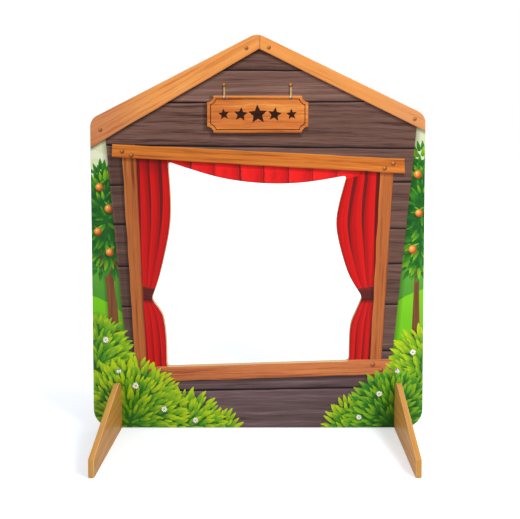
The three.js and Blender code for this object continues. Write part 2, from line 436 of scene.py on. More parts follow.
# A wood's last tone is the pale colour of its eased edges, partly wear and partly painted highlight.
boardWood = {"face": ("f3dcb2", "dab684"), "edge": ("f2d6a6", "c8985e"), "wearAndHighlight": "faebcb"}
footWoodsAndPaintedShade = {
    "left": {"face": ("c99048", "ac7433"), "edge": ("e4ad64", "c08640"), "wearAndHighlight": "f0c890"},
    "right": {"face": ("e0a253", "c2853d"), "edge": ("e2a95e", "be823c"), "wearAndHighlight": "f0c890"},
}  # each foot's face and edge have a light and a dark tone; the left foot's face tones are painted darker and the right foot's lighter, painted shade and painted light that even out the lamp's light on their inner sides
plies = 9  # veneers in each board


def lacquerOn(shader, wood, film, colours):
    # Clear lacquer over wood, painted paler along the eased edges: partly handling wear and partly a painted
    # highlight along them.
    tree = shader.id_data
    wearAndHighlightPatches = span(noiseAt(objectPlace(tree), 34.0, 3.0, 0.6), 0.3, 0.7, 0.15, 0.85)
    wearAndHighlight = product(stored(tree, "easedEdge")["Fac"], wearAndHighlightPatches)
    spray(shader, film, mix(wearAndHighlight, colours["Color"], ink(wood["wearAndHighlight"])), colours["Height"])


def buildVeneerMaterial(name, wood, film, turn, rings, figure):
    # A veneered face. Turn lists which of the object's axes run along, across and through the veneer.
    material, tree, shader = newMaterial(name)
    axes = split(objectPlace(tree))
    light, dark = (ink(code) for code in wood["face"])
    lacquerOn(shader, wood, film, useGroup(tree, timberGroup, {
        "Place": join(*(axes[axis] for axis in turn)), "Light": light, "Dark": dark,
        "Rings": rings, "Figure": figure}))
    return material


def buildEdgeMaterial(name, wood, axis, low, high):
    # A sawn edge whose veneers are stacked along one axis, from low to high.
    material, tree, shader = newMaterial(name)
    here = objectPlace(tree)
    level = split(here)[axis]
    depth = less(calc("ABSOLUTE", level) if low > 0 else level, low)
    light, dark = (ink(code) for code in wood["edge"])
    lacquerOn(shader, wood, edgeFilm, useGroup(tree, plyGroup, {
        "Depth": depth, "Place": here, "Ply": (high - low) / plies, "Light": light, "Dark": dark}))
    return material


def buildPlatedMaterial(name, colour, roughness):
    # Plated steel with a few softened marks.
    material, tree, shader = newMaterial(name)
    here = objectPlace(tree)
    stains = noiseAt(here, 180.0, 4.0, 0.6)
    marks = noiseAt(here, 1400.0, 2.0, 0.6)
    bump = follow("ShaderNodeBump", {"Strength": 0.15, "Distance": 0.05 * mm, "Height": marks})
    feed(shader, {
        "Base Color": mix(span(stains, 0.35, 0.7, 0.0, 0.35), ink(colour), ink("8f8b84")),
        "Roughness": span(stains, 0.3, 0.75, roughness, roughness + 0.14),
        "Normal": bump.outputs[0], "Metallic": 1.0})
    return material


panelLow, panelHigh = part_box("theatre_panel")
footLow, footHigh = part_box("right_foot")
boardBack = buildVeneerMaterial("panelBackVeneer", boardWood, boardFilm, (2, 0, 1), 13.0, 0.5)
boardEdge = buildEdgeMaterial("panelSawnEdge", boardWood, 1, panelLow.y, panelHigh.y)
footFinish = {side: {
    "face": buildVeneerMaterial(side + "FootVeneer", wood, footFilm, (1, 2, 0), 30.0, 0.45),
    "edge": buildEdgeMaterial(side + "FootSawnEdge", wood, 0, footLow.x, footHigh.x),
} for side, wood in footWoodsAndPaintedShade.items()}
nickel = buildPlatedMaterial("nickelPlate", "d8d4cc", 0.2)
zinc = buildPlatedMaterial("zincPlate", "b4b8ba", 0.34)
print("materials built:", len(bpy.data.materials))


# Outlines read from the frame

panelCurves = {"sharpest": 25.0, "shortest": 4 * mm}  # degrees that still count as a curve, and a short run
footCurves = {"sharpest": 24.0, "shortest": 1.2 * mm}
mergeDistance = 1e-6


def pairs(loop):
    # Each item of a closed loop with the next one.
    return zip(loop, loop[1:] + loop[:1])


def signedArea(points):
    return sum(a.x * b.y - b.x * a.y for a, b in pairs(points)) / 2


def wound(points, anticlockwise=True):
    return points if (signedArea(points) > 0) == anticlockwise else points[::-1]


def outlineLoops(node, flatAxes, depthAxis, depth):
    # The closed loops of a board's outline, in its own plane, where its side walls meet the eased edge.
    near, alike = 0.02 * mm, 0.99
    shape = bmesh.new()
    shape.from_mesh(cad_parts[node].data)
    bmesh.ops.remove_doubles(shape, verts=shape.verts, dist=near)
    level = {v for v in shape.verts if abs(v.co[depthAxis] - depth) < near}
    links = {}
    for edge in shape.edges:
        first, second = edge.verts
        walls = [f.normal for f in edge.link_faces]
        if first in level and second in level and len(walls) == 2 and walls[0].dot(walls[1]) < alike:
            links.setdefault(first, []).append(second)
            links.setdefault(second, []).append(first)
    loops = []
    while links:
        start = next(iter(links))
        loop, last, here = [], None, start
        while here in links:
            loop.append(Vector((here.co[flatAxes[0]], here.co[flatAxes[1]])))
            options = [v for v in links.pop(here) if v is not last and (v in links or v is start)]
            last, here = here, (options[0] if options else None)
        if len(loop) > 2:
            loops.append(loop)
    shape.free()
    loops.sort(key=lambda points: -abs(signedArea(points)))
    return [wound(points, i == 0) for i, points in enumerate(loops)]


def smoothLoop(points, sharpest, shortest):
    # Puts a point on the curve between each two, leaving corners and straight runs as they are.
    count = len(points)
    unevenest = 2.2

    def turn(i):
        before = points[i] - points[i - 1]
        after = points[(i + 1) % count] - points[i]
        return math.degrees(before.angle(after, 0.0))

    finer = []
    for i in range(count):
        a, b, c, d = (points[(i + k) % count] for k in (-1, 0, 1, 2))
        run = (c - b).length
        finer.append(b)
        if turn(i) < sharpest and turn((i + 1) % count) < sharpest and run > shortest:
            even = max((b - a).length, run, (d - c).length) < unevenest * run
            finer.append((9 * (b + c) - a - d) / 16 if even else (b + c) / 2)
    return finer


def offsetLoop(points, distance):
    # Moves each point off the board's material by the distance, with mitred corners.
    count = len(points)
    near, mitreLimit, farthest = 0.05 * mm, 0.3, 5

    def direction(i, way):
        # Along the loop here, past points that almost coincide.
        step = 1
        while (points[(i + way * step) % count] - points[i]).length < near and step < farthest:
            step += 1
        return (way * (points[(i + way * step) % count] - points[i])).normalized()

    moved = []
    for i, here in enumerate(points):
        before, after = direction(i, -1), direction(i, 1)
        first = Vector((before.y, -before.x))
        second = Vector((after.y, -after.x))
        moved.append(here + (first + second) * (distance / max(mitreLimit, 1 + first.dot(second))))
    return moved


# Boards

boardEase = {"radius": 1.5 * mm, "steps": 4, "printed": 2}  # the print runs over the easing's first steps


def newObject(name, data):
    made = bpy.data.objects.new(name, data)
    scene.collection.objects.link(made)
    return made


def newPiece(name, body, materials):
    mesh = bpy.data.meshes.new(name)
    body.to_mesh(mesh)
    body.free()
    for material in materials:
        mesh.materials.append(material)
    return newObject(name, mesh)


def partition(faces):
    # Cuts the plane by all the faces' outlines, and lists for each triangle the faces that hold it.
    points = [p for face in faces for p in face]
    indices, start = [], 0
    for face in faces:
        indices.append(list(range(start, start + len(face))))
        start += len(face)
    flat, _, triangles, sources, _, owners = delaunay_2d_cdt(points, [], indices, 1, mergeDistance, True)
    return flat, triangles, owners, sources


def printFront(body, faces, toSpace, slots, shapes):
    # Fills the front with triangles, inked by the topmost shape on each. Gives each vertex's flat point.
    spots, shades = body.loops.layers.float_vector["printPlace"], body.loops.layers.float["printShade"]
    flat, triangles, owners, _ = partition(faces)
    verts = {}
    for triangle, owner in zip(triangles, owners):
        if 0 not in owner or max(owner) > len(shapes):
            continue
        for i in triangle:
            if i not in verts:
                verts[i] = body.verts.new(toSpace(flat[i].x, flat[i].y, 0.0))
        face = body.faces.new([verts[i] for i in triangle])
        top = max((o for o in owner if o and shapes[o - 1]["kind"] != "shade"), default=0)
        face.material_index = slots[shapes[top - 1]["kind"] if top else "face"]
        if top:
            light = math.prod(1 - shapes[o - 1]["strength"] for o in owner if o > top)
            for corner, i in zip(face.loops, triangle):
                corner[spots] = shapes[top - 1]["place"](flat[i])
                corner[shades] = 1 - light
    return {v: flat[i] for i, v in verts.items()}


def openRings(body):
    # The face corners along the front's open edges, ring by ring.
    ahead = {}
    for edge in body.edges:
        if len(edge.link_faces) == 1:
            corner = next(l for l in edge.link_faces[0].loops if l.edge is edge)
            ahead[corner.vert] = corner
    rings = []
    while ahead:
        ring, here = [], next(iter(ahead))
        while here in ahead:
            ring.append(ahead.pop(here))
            here = ring[-1].link_loop_next.vert
        rings.append(ring)
    return rings


def easeLevels(thickness):
    # How far out and how deep each ring round the board lies, from the front's easing to the back's.
    radius, steps = boardEase["radius"], boardEase["steps"]
    turns = [math.pi / 2 * k / steps for k in range(1, steps + 1)]
    levels = [(radius * math.sin(a), radius * (1 - math.cos(a))) for a in turns]
    return levels + [(out, thickness - deep) for out, deep in reversed(levels)] + [(0.0, thickness)]


def crease(body, ring):
    for a, b in pairs(ring):
        body.edges.get((a, b)).smooth = False


def closeBack(body, rings, slot):
    # Fills the back between its rings, each given as flat points and vertices.
    rings = sorted(rings, key=lambda ring: -abs(signedArea(ring[0])))
    rings = rings[:1] + [(flat[::-1], verts[::-1]) for flat, verts in rings[1:]]
    verts = [v for _, ring in rings for v in ring]
    _, triangles, owners, sources = partition([flat for flat, _ in rings])
    for triangle, owner in zip(triangles, owners):
        if owner == [0]:
            corners = [verts[sources[i][0]] for i in triangle]
            body.faces.new(corners[::-1]).material_index = slot
    for _, ring in rings:
        crease(body, ring)


def buildBoard(name, loops, thickness, toSpace, materials, shapes=()):
    # A sawn board with eased edges. Shapes are printed on its front, each later one over the earlier ones.
    body = bmesh.new()
    spots = body.loops.layers.float_vector.new("printPlace")
    shades = body.loops.layers.float.new("printShade")
    eased = body.loops.layers.float.new("easedEdge")
    slots = {m: i for i, m in enumerate(materials)}
    rims = [offsetLoop(loop, -boardEase["radius"]) for loop in loops]
    faces = rims[:1] + [s["points"] for s in shapes] + [rim[::-1] for rim in rims[1:]]
    where = printFront(body, faces, toSpace, slots, shapes)
    backRings = []
    for ring in openRings(body):
        last = [corner.vert for corner in ring]
        flatRing = [where[v] for v in last]
        crease(body, last)
        for step, (out, deep) in enumerate(easeLevels(thickness)):
            fresh = [body.verts.new(toSpace(p.x, p.y, deep)) for p in offsetLoop(flatRing, out)]
            for i, corner in enumerate(ring):
                j = (i + 1) % len(ring)
                side = body.faces.new((last[i], fresh[i], fresh[j], last[j]))
                side.smooth = True
                side.material_index = slots["edge"]
                if step != boardEase["steps"]:
                    for own in side.loops:
                        own[eased] = 1.0
                if shapes and step < boardEase["printed"]:
                    ahead = corner.link_loop_next
                    side.material_index = corner.face.material_index
                    for own, inked in zip(side.loops, (corner, corner, ahead, ahead)):
                        own[spots], own[shades] = inked[spots], inked[shades]
            last = fresh
        backRings.append((flatRing, last))
    closeBack(body, backRings, slots["face"])
    unclosed = sum(1 for e in body.edges if len(e.link_faces) != 2)
    board = newPiece(name, body, materials.values())
    print(name, len(board.data.polygons), "faces,", unclosed, "open edges")
    return board


def settle(piece, node):
    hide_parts(node)
    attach(piece, "root")


# Small outlines laid out by Geometry Nodes: leaves, petals, fruit, nail heads and pegs

ovalInputs = ("Width", "Point", "Corners", "Turn Spread", "Size Spread")
ovalShapes = {
    "bushLeaf": (0.5, 0.62, 12, 0.35, 0.2),
    "treeLeaf": (0.5, 0.7, 12, 0.35, 0.2),
    "fruitLeaf": (0.45, 0.8, 12, 0.15, 0.15),
    "petal": (0.5, 0.15, 10, 0.06, 0.08),
    "button": (1.0, 0.0, 14, 0.0, 0.0),
    "fruit": (1.0, 0.0, 20, 0.0, 0.06),
    "peg": (1.0, 0.0, 16, 0.0, 0.05),
}


def buildScatterTree():
    # Lays one pointed oval on each guide point, from its base outwards, along the point's own turn.
    tree, given, end = newGroup("printScatter", {
        "Guides": "Geometry", "Length": "Float", "Width": "Float", "Point": "Float", "Corners": "Int",
        "Turn Spread": "Float", "Size Spread": "Float", "Seed": "Int", "Material": "Material"},
        {"Geometry": "Geometry"}, "GeometryNodeTree")

    def guideValue(name):
        inputs = {"Name": name}
        return place(tree, "GeometryNodeInputNamedAttribute", inputs, data_type="FLOAT").outputs["Attribute"]

    def spread(amount, step):
        node = place(tree, "FunctionNodeRandomValue", data_type="FLOAT")
        sockets = {s.name: s for s in node.inputs if s.enabled}
        tree.links.new(product(amount, -1.0), sockets["Min"])
        tree.links.new(amount, sockets["Max"])
        tree.links.new(total(given["Seed"], float(step)), sockets["Seed"])
        return next(s for s in node.outputs if s.enabled)

    rim = {"Vertices": given["Corners"], "Radius": 0.5}
    disc = follow("GeometryNodeMeshCircle", rim, fill_type="NGON").outputs[0]
    spot = split(place(tree, "GeometryNodeInputPosition").outputs[0])
    along = less(0.5, spot[0])
    narrow = less(1.0, product(along, given["Point"]))
    side = product(spot[1], -1.0, product(narrow, given["Width"]))
    oval = follow("GeometryNodeSetPosition", {"Geometry": disc, "Position": join(along, side)})
    angle = total(guideValue("turn"), spread(given["Turn Spread"], 1))
    luck = total(1.0, spread(given["Size Spread"], 2))
    laid = follow("GeometryNodeInstanceOnPoints", {
        "Points": given["Guides"], "Instance": oval.outputs[0], "Rotation": join(0.0, 0.0, angle),
        "Scale": product(guideValue("size"), given["Length"], luck)})
    real = follow("GeometryNodeRealizeInstances", {"Geometry": laid.outputs[0]}).outputs[0]
    inked = follow("GeometryNodeSetMaterial", {"Geometry": real, "Material": given["Material"]})
    feed(end, {"Geometry": inked.outputs[0]})
    return tree


scatterTree = buildScatterTree()
shapes = []  # what is printed on the board, the lowest first

# How far each soft shade is shifted, how far its outlines are spread, and how much each of them darkens
softShades = {
    "trunk": ((-5, -4), (-2, 3), 0.25), "fruit": ((-3, -5), (-3, 1), 0.3),
    "wall": ((0, 0), (3, 8, 14), 0.2), "dimStrip": ((0, 0), (-6, -2, 2), 0.18),
    "sign": ((-6, -8), (-2, 3, 8), 0.28), "cord": ((-4, -5), (0, 2), 0.25),
    "tie": ((0, -5), (0, 3), 0.3), "valance": ((0, -3), (0, 4, 8), 0.2),
    "frame": ((-5, -6), (-2, 2, 6), 0.26), "peg": ((-1.5, -2), (0, 1.5), 0.28),
    "roof": ((0, -6), (-1, 2, 6), 0.3), "roofLap": ((3, -3), (0, 2), 0.2),
    "bush": ((0, 3), (4, 14, 24), 0.2), "flower": ((-2, -4), (-3, 1), 0.3),
}

# How far a painted board's long edges stray, and how often
slatEdges = {
    "plank": (0.9, 60), "stile": (1.3, 60), "surround": (1.3, 60), "sill": (1.3, 60), "gable": (1.2, 90),
    "cord": (0.2, 10), "tie": (0.3, 12),
}


def flatPoint(x, z):
    return Vector((x * mm, z * mm))


def flatLoop(points):
    return [flatPoint(*p) for p in points]


def blob(x, z, halfWidth, halfHeight, bumps=0, depth=0.0, count=48):
    points = []
    for i in range(count):
        a = 2 * math.pi * i / count
        swell = 1 + depth * math.sin(bumps * a)
        points.append(flatPoint(x + halfWidth * math.cos(a) * swell, z + halfHeight * math.sin(a) * swell))
    return points


def addShape(kind, points, spot=lambda p: (0.0, 0.0, 0.0)):
    shapes.append({"kind": kind, "points": wound(points), "place": spot})


def addShade(points, cause):
    # A soft shadow beside something: a few nested outlines that each darken a little.
    shift, spread, strength = softShades[cause]
    for grow in spread:
        moved = [p + flatPoint(*shift) for p in offsetLoop(wound(points), grow * mm)]
        shapes.append({"kind": "shade", "points": moved, "strength": strength})


def layOut(guides, values):
    # The ovals' outlines on their guides, which are (x, z, turn, size).
    holder = bpy.data.meshes.new("guides")
    holder.from_pydata([(x * mm, z * mm, 0) for x, z, *_ in guides], [], [])
    for label, index in (("turn", 2), ("size", 3)):
        numbers = [float(g[index]) for g in guides]
        holder.attributes.new(label, "FLOAT", "POINT").data.foreach_set("value", numbers)
    guideObject = newObject("guides", holder)
    modifier = guideObject.modifiers.new("scatter", "NODES")
    modifier.node_group = scatterTree
    for item in scatterTree.interface.items_tree:
        if item.item_type == "SOCKET" and item.in_out == "INPUT" and item.name in values:
            modifier[item.identifier] = values[item.name]
    laid = bpy.data.meshes.new_from_object(guideObject.evaluated_get(bpy.context.evaluated_depsgraph_get()))
    outlines = [[laid.vertices[i].co.to_2d() for i in polygon.vertices] for polygon in laid.polygons]
    bpy.data.objects.remove(guideObject)
    bpy.data.meshes.remove(holder)
    bpy.data.meshes.remove(laid)
    return outlines


def scatter(kind, guides, seed, length, oval, tones=(0.0, 1.0)):
    # Prints an oval on each guide, later ones over earlier ones. A round one is painted from its middle out,
    # and a pointed one from its base to its tip.
    form = dict(zip(ovalInputs, ovalShapes[oval]))
    values = {**form, "Length": length * mm, "Seed": seed, "Material": printKinds[kind]}
    shuffle = random.Random(seed)
    for points in layOut(guides, values):
        tone = shuffle.uniform(*tones)
        if form["Point"] == 0.0:
            middle = sum(points, Vector((0, 0))) / len(points)
            reach = (points[0] - middle).length
            addShape(kind, points, lambda p, m=middle, r=reach, t=tone: (*((p - m) / r), t))
        else:
            base = points[0]
            axis = points[len(points) // 2] - base
            half = axis.length * form["Width"] / 2
            side = Vector((-axis.y, axis.x)).normalized()
            addShape(kind, points, lambda p, b=base, a=axis, s=side, h=half, t=tone: (
                (p - b).dot(a) / a.length_squared, (p - b).dot(s) / h, t))


def addPegs(places, size, seed, kind="peg"):
    shadeCorners = 14
    for x, z in places:
        addShade(blob(x, z, size / 2, size / 2, count=shadeCorners), "peg")
    scatter(kind, [(x - size / 2, z, 0.0, 1.0) for x, z in places], seed, size, "peg")


def addSlat(kind, corners, number, seed):
    # A board in the print, from its lower edge round to its upper edge. The number picks its grain.
    waver, cell = slatEdges[kind]
    firstSeed = 1000
    shake = random.Random(firstSeed + seed)
    lowStart, lowEnd, highEnd, highStart = corners
    along = (lowEnd - lowStart).normalized()
    lowSide = Vector((-along.y, along.x))
    topRun = (highEnd - highStart).normalized()
    highSide = Vector((topRun.y, -topRun.x))

    def uneven(start, end):
        count = max(1, round((end - start).length / (cell * mm)))
        points = [start.lerp(end, i / count) for i in range(count + 1)]
        side = Vector((start.y - end.y, end.x - start.x)).normalized()
        for p in points[1:-1]:
            p += side * shake.uniform(-waver, waver) * mm
        return points

    def spot(p):
        low = max(0.0, (p - lowStart).dot(lowSide))
        high = max(0.0, (p - highStart).dot(highSide))
        return (p - lowStart).dot(along), low / max(low + high, mergeDistance), number

    addShape(kind, uneven(lowStart, lowEnd) + uneven(highEnd, highStart), spot)


def clipTo(points, keeper):
    # The part of a polygon that lies in a convex one whose corners run anticlockwise.
    for start, end in pairs(keeper):
        run = end - start
        kept = []
        for here, ahead in pairs(points):
            side, sideAhead = run.cross(here - start), run.cross(ahead - start)
            if side >= 0:
                kept.append(here)
            if (side >= 0) != (sideAhead >= 0):
                kept.append(here.lerp(ahead, side / (side - sideAhead)))
        points = kept
    return points


panelLoops = [smoothLoop(loop, **panelCurves) for loop in outlineLoops(
    "theatre_panel", (0, 2), 1, panelLow.y + boardEase["radius"])]
print("board outlines:", [len(loop) for loop in panelLoops])


def crossings(value, axis):
    # Where the window's outline crosses an upright line (axis 0) or a level one (axis 1).
    found = []
    for a, b in pairs(panelLoops[1]):
        if (a[axis] - value) * (b[axis] - value) <= 0 and a[axis] != b[axis]:
            found.append(a.lerp(b, (value - a[axis]) / (b[axis] - a[axis]))[1 - axis])
    return found


def lineAt(ends, z):
    (x0, z0), (x1, z1) = ends
    return x0 + (x1 - x0) * (z - z0) / (z1 - z0)


# The garden behind the hut

gardenPrint = {
    "skies": [("skyLeft", -560, 0), ("skyRight", 0, 560)], "skyHeights": (-20, 1300),
    "clouds": [(-545, 886, 28), (-518, 874, 24), (-490, 868, 18)], "cloudHeight": 0.6,
    "hills": [("farHill", -480, 250, 260, 330), ("farHill", 560, 200, 260, 420),
              ("meadow", -600, 60, 300, 380), ("meadow", 600, 60, 330, 400)],
    "hillCorners": 60,
}
treePrint = {
    "leaf": {"oval": "treeLeaf", "length": 32, "step": 15, "lift": 18, "tones": ((0.3, 1.0), (-0.5, 0.5))},
    "fruit": {"size": 25, "stalk": 0.42, "leafLength": 0.8, "leaves": ((0.5, 1.0), (2.5, 0.8))},
    "left": {
        "crown": (-478, 668, 100, 158), "inner": (-478, 668, 92, 150, 5, 0.06), "seed": 41,
        "leaves": ("leafDark", "leafDark", "leafMiddle"),
        "trunk": [(-472, 300), (-438, 300), (-446, 400), (-455, 470), (-440, 545), (-452, 550), (-468, 505),
                  (-488, 560), (-500, 556), (-480, 470), (-476, 400)],
        "bark": {"start": -490, "width": 60, "number": 2.0},
        "places": [(-498, 772), (-470, 704), (-504, 632), (-468, 566)], "fruitSeed": 50,
    },
    "right": {
        "crown": (515, 690, 92, 190), "inner": (515, 690, 84, 176, 7, 0.05), "seed": 43,
        "leaves": ("leafDark", "leafMiddle", "leafDark"),
        "trunk": [(486, 262), (515, 262), (508, 520), (496, 520)],
        "bark": {"start": 488, "width": 24, "number": 4.0},
        "places": [(502, 812), (508, 690), (488, 575)], "fruitSeed": 60,
    },
}  # the fruit's stalk and leaves are shares of its size, and each of the leaves has its turn and size


def canopyRows(outline, leaf, seed, start=0.0, end=2 * math.pi):
    # Leaf places in rows that follow a rounded outline, from its rim inwards.
    x, z, halfWidth, halfHeight = outline
    waver, innermost = 0.04, 0.04
    shake = random.Random(seed)
    rows, share = [], 1.0
    while share > innermost:
        a, b = halfWidth * share, halfHeight * share
        count = max(3, round((end - start) * (a + b) / 2 / leaf["step"]))
        offset = shake.random()
        row = []
        for i in range(count + 1):
            angle = start + (end - start) * (i + offset - 0.5) / count
            wobble = 1 + shake.uniform(-waver, waver)
            out = math.atan2(math.sin(angle) * a, math.cos(angle) * b)
            row.append((x + a * math.cos(angle) * wobble, z + b * math.sin(angle) * wobble, out, 1.0))
        shake.shuffle(row)
        rows.append(row)
        share -= leaf["lift"] / max(halfWidth, halfHeight)
    return rows


def addLeaves(rows, kinds, leaf, seed):
    # Rows from the rim inwards, whose tones run from the first pair to the second.
    seedsPerPlant = 10
    for i, row in enumerate(rows):
        share = i / max(1, len(rows) - 1)
        tones = tuple(rim + (core - rim) * share for rim, core in zip(*leaf["tones"]))
        rowSeed = seed * seedsPerPlant + i
        scatter(kinds[i % len(kinds)], row, rowSeed, leaf["length"], leaf["oval"], tones)


def addTrunk(tree):
    start, width, number = (tree["bark"][key] for key in ("start", "width", "number"))
    addShape("bark", flatLoop(tree["trunk"]), lambda p: (p.y, (p.x / mm - start) / width, number))


def addFruit(x, z, seed):
    fruit = treePrint["fruit"]
    size = fruit["size"]
    leaves = [(x, z + size * fruit["stalk"], turn, share) for turn, share in fruit["leaves"]]
    addShade(blob(x, z, size / 2, size / 2), "fruit")
    scatter("leafMiddle", leaves, seed, size * fruit["leafLength"], "fruitLeaf")
    scatter("fruit", [(x - size / 2, z, 0.0, 1.0)], seed, size, "fruit")


def addCrown(tree):
    leaf, seed = treePrint["leaf"], tree["seed"]
    addLeaves(canopyRows(tree["crown"], leaf, seed), tree["leaves"], leaf, seed)
    for i, (x, z) in enumerate(tree["places"]):
        addFruit(x, z, tree["fruitSeed"] + i)


def printGarden():
    low, high = gardenPrint["skyHeights"]
    for kind, left, right in gardenPrint["skies"]:
        addShape(kind, flatLoop([(left, low), (right, low), (right, high), (left, high)]))
    for x, z, size in gardenPrint["clouds"]:
        addShape("cloud", blob(x, z, size, size * gardenPrint["cloudHeight"]))
    for kind, *outline in gardenPrint["hills"]:
        addShape(kind, blob(*outline, count=gardenPrint["hillCorners"]))
    left, right = treePrint["left"], treePrint["right"]
    addShape("thicket", blob(*left["inner"]))
    addShade(flatLoop(left["trunk"]), "trunk")
    addTrunk(left)
    addCrown(left)
    addTrunk(right)
    addShape("thicket", blob(*right["inner"]))
    addCrown(right)


# The hut's plank wall

wallPrint = {
    "outline": [(-397, -12), (403, -12), (500, 985), (-2, 1240), (-482, 985)],
    "joints": [(-20, -20), (118, 136), (262, 250), (392, 400), (520, 530), (655, 641), (778, 790), (905, 893),
               (1034, 1042), (1138, 1134), (1300, 1300)],  # each joint's height at the left and at the right
    "reach": 520, "gapWidth": 7, "gapSpread": (0.55, 1.15), "firstGrain": 0.37, "seed": 7,
    "dimStrip": [(-411, 150), (-372, 150), (-420, 870), (-472, 870)],  # beside the window, a little darker
}


def printWall():
    keeper = flatLoop(wallPrint["outline"])
    addShade(keeper[:3] + keeper[4:], "wall")
    addShape("gap", keeper)
    reach = wallPrint["reach"]
    shake = random.Random(wallPrint["seed"])
    for i, (low, high) in enumerate(zip(wallPrint["joints"], wallPrint["joints"][1:])):
        gap = [wallPrint["gapWidth"] / 2 * shake.uniform(*wallPrint["gapSpread"]) for _ in range(4)]
        corners = flatLoop([(-reach, low[0] + gap[0]), (reach, low[1] + gap[1]),
                            (reach, high[1] - gap[2]), (-reach, high[0] - gap[3])])
        addSlat("plank", corners, wallPrint["firstGrain"] + i, i)
        shapes[-1]["points"] = clipTo(shapes[-1]["points"], keeper)
    addShade(flatLoop(wallPrint["dimStrip"]), "dimStrip")


# The plaque with hollowed corners that hangs from two cords, with a row of stars

signPrint = {
    "middle": (0, 1000), "halfWidth": 158, "halfHeight": 58, "hollow": 20, "arcSteps": 8,
    "grooveInset": 9, "grooveWidth": 2.6, "grain": 5.1,
    "pegs": [(-104, 1092), (104, 1092)], "pegSize": 12, "pegSeed": 320,
    "nailSize": 9, "nailDrop": 5, "nailSeed": 321,
    "cordWidth": 5, "cordTuck": 6, "cordGrain": 2.2, "cordSeed": 70,
    "stars": [18, 23, 31, 23, 18], "starTurns": [0.12, -0.09, 0.05, -0.14, 0.1],
    "starStep": 53, "starPoints": 5, "starWaist": 0.46,
}


def plaqueOutline(inset):
    x, z = signPrint["middle"]
    wide, high = signPrint["halfWidth"], signPrint["halfHeight"]
    reach = signPrint["hollow"] + inset
    trim = math.asin(inset / reach)  # where the hollow meets the straight sides
    steps = signPrint["arcSteps"]
    points = []
    for i, (sideX, sideZ) in enumerate(((1, 1), (-1, 1), (-1, -1), (1, -1))):
        for k in range(steps + 1):
            a = math.pi / 2 * (i - 1) - trim - (math.pi / 2 - 2 * trim) * k / steps
            points.append(flatPoint(
                x + sideX * wide + reach * math.cos(a), z + sideZ * high + reach * math.sin(a)))
    return points


def starOutline(middle, size, turn):
    points, count = [], signPrint["starPoints"]
    for k in range(2 * count):
        reach = size * (1.0 if k % 2 == 0 else signPrint["starWaist"]) * mm
        a = math.pi / 2 + turn + math.pi * k / count
        points.append(middle + Vector((math.cos(a), math.sin(a))) * reach)
    return points


def printSign():
    x, z = signPrint["middle"]
    high = signPrint["halfHeight"]
    half = signPrint["cordWidth"] / 2

    def along(p):
        return p.x, (p.y - z * mm + high * mm) / (2 * high * mm), signPrint["grain"]

    addShade(plaqueOutline(0), "sign")
    for i, (cordX, top) in enumerate(signPrint["pegs"]):
        foot = z + high - signPrint["cordTuck"]
        cord = flatLoop([
            (cordX + half, foot), (cordX + half, top), (cordX - half, top), (cordX - half, foot)])
        addShade(cord, "cord")
        addSlat("cord", cord, signPrint["cordGrain"] + i, signPrint["cordSeed"] + i)
    addShape("sign", plaqueOutline(0), along)
    addShape("star", plaqueOutline(signPrint["grooveInset"]), along)
    addShape("sign", plaqueOutline(signPrint["grooveInset"] + signPrint["grooveWidth"]), along)
    stars = signPrint["stars"]
    for i, (size, turn) in enumerate(zip(stars, signPrint["starTurns"])):
        middle = flatPoint(x + (i - (len(stars) - 1) / 2) * signPrint["starStep"], z)
        addShape("star", starOutline(middle, size, turn), along)
    addPegs(signPrint["pegs"], signPrint["pegSize"], signPrint["pegSeed"])
    nails = [(cordX, z + high - signPrint["nailDrop"]) for cordX, _ in signPrint["pegs"]]
    addPegs(nails, signPrint["nailSize"], signPrint["nailSeed"], "nail")


# The window's curtains, whose inner edges are the board's own cut

curtainPrint = {
    "railLevel": 840, "railFall": 0.052, "sillLevel": 205,
    "underSill": 12, "underRail": 22, "shadeTop": 20,  # how far the cloth and its shading run past the window
    "rowHeight": 14, "columns": 7, "columnReach": 1.4, "columnStart": -0.1,
    "tieAtStile": (414, 458), "tieAtCut": (410, 448), "tieLevels": (430, 422), "tieEnds": (6, 14, 20),
    "tieSeed": 60,
}
drapes = {
    "left": {"stile": [(-352, 205), (-383, 860)], "inner": min, "cut": (214, 838), "number": 1.0},
    "right": {"stile": [(354, 220), (384, 822)], "inner": max, "cut": (222, 796), "number": 2.0},
}  # cut: between which heights the window's edge bounds the cloth
valancePrint = {
    "left": -292, "right": 322, "cells": 44, "shares": (0.0, 0.33, 0.66, 1.0, 1.5), "tuck": 12, "above": 20,
    "hemReach": 262, "riseLeft": 0.55, "riseRight": 0.28,  # past the window's upper corners
    "shadeTop": 12, "shadeBottom": -14, "number": 9.0,
}


